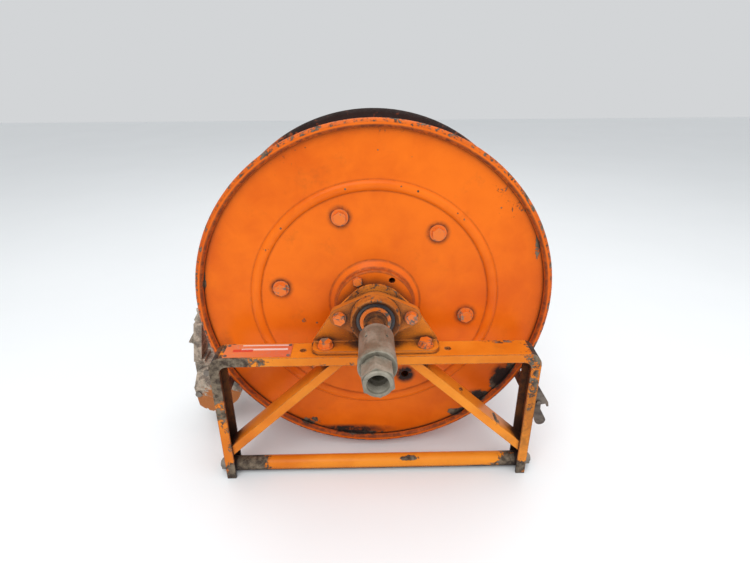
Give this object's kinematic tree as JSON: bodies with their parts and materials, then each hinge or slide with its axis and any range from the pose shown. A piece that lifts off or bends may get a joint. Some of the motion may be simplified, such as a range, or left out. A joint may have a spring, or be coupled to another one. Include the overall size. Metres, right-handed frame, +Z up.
{
  "type": "hose reel",
  "caption": "Power-rewind hose reel: two orange steel discs and a drum on a bearing-carried shaft, in a braced stand of bent channel, with swivel inlet, chain drive and rim brake.",
  "frame": {"origin": "centre of the outer box, on the floor that the stand's feet rest on", "axes": "+X across the stand, towards the brake; +Y along the reel's axle, from the swivel inlet towards the chain drive; +Z up"},
  "size_m": [0.6747, 0.504, 0.6248],
  "materials": {
    "stand_paint": "worn orange enamel, chipped to bare steel on edges and feet",
    "reel_paint": "worn orange enamel with grime in the grooves",
    "painted_fasteners": "orange overspray over plated steel, rusted corners",
    "steel_fasteners": "dull zinc plate with dirt",
    "painted_casting": "thin orange enamel over cast iron, rubbed through on the ridges",
    "bearing_steel": "ground steel",
    "dark_steel": "oily dark steel",
    "galvanised_steel": "dull galvanised steel",
    "motor_casting": "weathered casting with orange overspray",
    "seal_rubber": "matt black",
    "name_plate_print": "printed metal plate in red and white bands, no lettering"
  },
  "bodies": {
    "frame": {"front_frame": "stand_paint", "rear_frame": "stand_paint", "front_brace_left": "stand_paint", "front_brace_right": "stand_paint", "rear_brace_left": "stand_paint", "rear_brace_right": "stand_paint", "side_rail_left": "stand_paint", "side_rail_right": "stand_paint", "front_cross_tube": "stand_paint", "rear_cross_tube": "stand_paint", "cross_tie_rods": "steel_fasteners", "cross_tie_nuts": "steel_fasteners", "front_bearing_bracket": "stand_paint", "rear_bearing_bracket": "stand_paint", "bracket_bolts": "painted_fasteners", "front_bearing_housing": "painted_casting", "rear_bearing_housing": "painted_casting", "bearing_outer_rings": "bearing_steel", "bearing_balls": "bearing_steel", "bearing_seals": "seal_rubber", "bearing_bolts": "painted_fasteners", "grease_fittings": "steel_fasteners", "name_plate": "name_plate_print", "name_plate_rivets": "steel_fasteners", "motor_bracket": "stand_paint", "motor_bracket_bolts": "steel_fasteners", "motor_end_cap": "motor_casting", "motor_body": "motor_casting", "motor_flange": "motor_casting", "motor_cap_bolts": "steel_fasteners", "motor_flange_bolts": "steel_fasteners", "control_valve": "motor_casting", "valve_cap": "motor_casting", "port_plugs": "motor_casting", "drive_chain": "dark_steel", "brake_bracket": "dark_steel"},
    "reel": {"front_disc": "reel_paint", "rear_disc": "reel_paint", "drum_shell": "reel_paint", "disc_tie_rods": "painted_fasteners", "tie_rod_washers": "painted_fasteners", "front_hub_flange": "reel_paint", "rear_hub_flange": "reel_paint", "hub_bolts": "painted_fasteners", "reel_shaft": "painted_casting", "bearing_inner_rings": "painted_casting", "bearing_collars": "painted_fasteners", "reel_sprocket": "dark_steel", "hose_riser": "galvanised_steel", "outlet_elbow": "galvanised_steel", "swivel_barrel": "galvanised_steel"},
    "swivel": {"swivel_stem": "galvanised_steel", "swivel_balls": "bearing_steel", "swivel_seal": "seal_rubber"},
    "motor_drive": {"motor_shaft": "bearing_steel", "motor_rotor": "bearing_steel", "motor_sprocket": "dark_steel"},
    "brake": {"brake_lever": "dark_steel", "brake_shoe": "seal_rubber"}
  },
  "joints": [
    {"name": "reel_spin", "type": "hinge", "parent": "frame", "child": "reel", "pos_m": [0.0303, 0.0635, 0.32], "axis": [0, 1, 0], "continuous": true},
    {"name": "swivel_spin", "type": "hinge", "parent": "frame", "child": "swivel", "pos_m": [0.0303, -0.184, 0.32], "axis": [0, 1, 0], "continuous": true},
    {"name": "motor_spin", "type": "hinge", "parent": "frame", "child": "motor_drive", "pos_m": [-0.2861, 0.136, 0.10721], "axis": [0, 1, 0], "continuous": true},
    {"name": "brake_swing", "type": "hinge", "parent": "frame", "child": "brake", "pos_m": [0.3173, -0.044, 0.15], "axis": [0, -1, 0], "range_deg": [0, 8]}
  ],
  "couplings": [
    {"joint": "motor_spin", "follows": "reel_spin", "ratio": 5}
  ]
}
